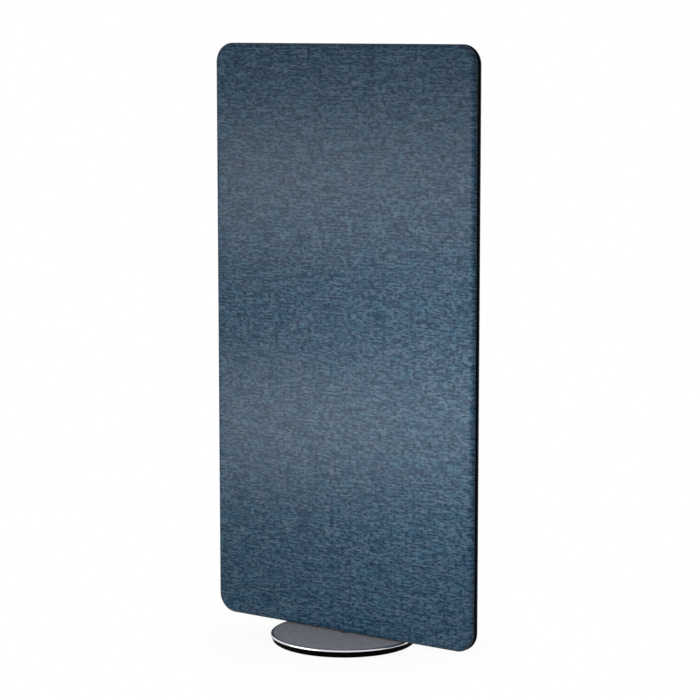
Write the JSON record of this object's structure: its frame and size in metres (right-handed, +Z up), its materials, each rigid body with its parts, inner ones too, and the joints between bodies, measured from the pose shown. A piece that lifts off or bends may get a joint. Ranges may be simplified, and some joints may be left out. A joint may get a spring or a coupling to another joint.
{
  "type": "partition screen",
  "caption": "Freestanding upholstered partition screen: a slim rounded panel that turns on a spindle in a heavy round base.",
  "frame": {"origin": "on the floor, on the swivel axis, under the middle of the panel", "axes": "+Z up along the swivel axis, +X along the panel's width, the front faces -Y"},
  "size_m": [0.8, 0.38, 1.524],
  "materials": {
    "upholstery": "blue melange woven upholstery fabric, matt",
    "edge_band": "black woven band, matt",
    "pad": "grey needled felt",
    "core": "pressed fibre, sound absorbing, stands in for the real low-density slab",
    "softwood": "planed softwood, unfinished",
    "beech": "turned beech, unfinished",
    "socket_steel": "welded steel, black powder coat",
    "zinc_steel": "zinc-plated steel screws",
    "spindle_steel": "turned steel, lightly oiled",
    "bush": "natural acetal",
    "collar": "black acetal",
    "ballast": "turned cast iron, black paint",
    "base_cover": "satin grey powder coat on steel",
    "trim": "polished ring, chromium plated",
    "floor_ring": "black rubber"
  },
  "bodies": {
    "base": {"base_ballast": "ballast", "base_cover": "base_cover", "base_trim_ring": "trim", "floor_ring": "floor_ring", "spindle": "spindle_steel", "spindle_screws": "zinc_steel", "cover_screws": "zinc_steel", "thrust_collar": "collar"},
    "screen": {"front_cover": "upholstery", "back_cover": "upholstery", "edge_band": "edge_band", "front_pad": "pad", "back_pad": "pad", "left_stile": "softwood", "right_stile": "softwood", "top_rail": "softwood", "upper_cross_rail": "softwood", "lower_cross_rail": "softwood", "bottom_rail_left": "softwood", "bottom_rail_right": "softwood", "frame_dowels": "beech", "core_top": "core", "core_middle": "core", "core_lower_left": "core", "core_lower_right": "core", "foot_plate": "socket_steel", "socket_tube": "socket_steel", "head_plate": "socket_steel", "foot_screws": "zinc_steel", "head_screws": "zinc_steel", "lower_bush": "bush", "upper_bush": "bush"}
  },
  "joints": [
    {"name": "swivel", "type": "hinge", "parent": "base", "child": "screen", "pos_m": [0, 0, 0], "axis": [0, 0, 1], "continuous": true}
  ]
}
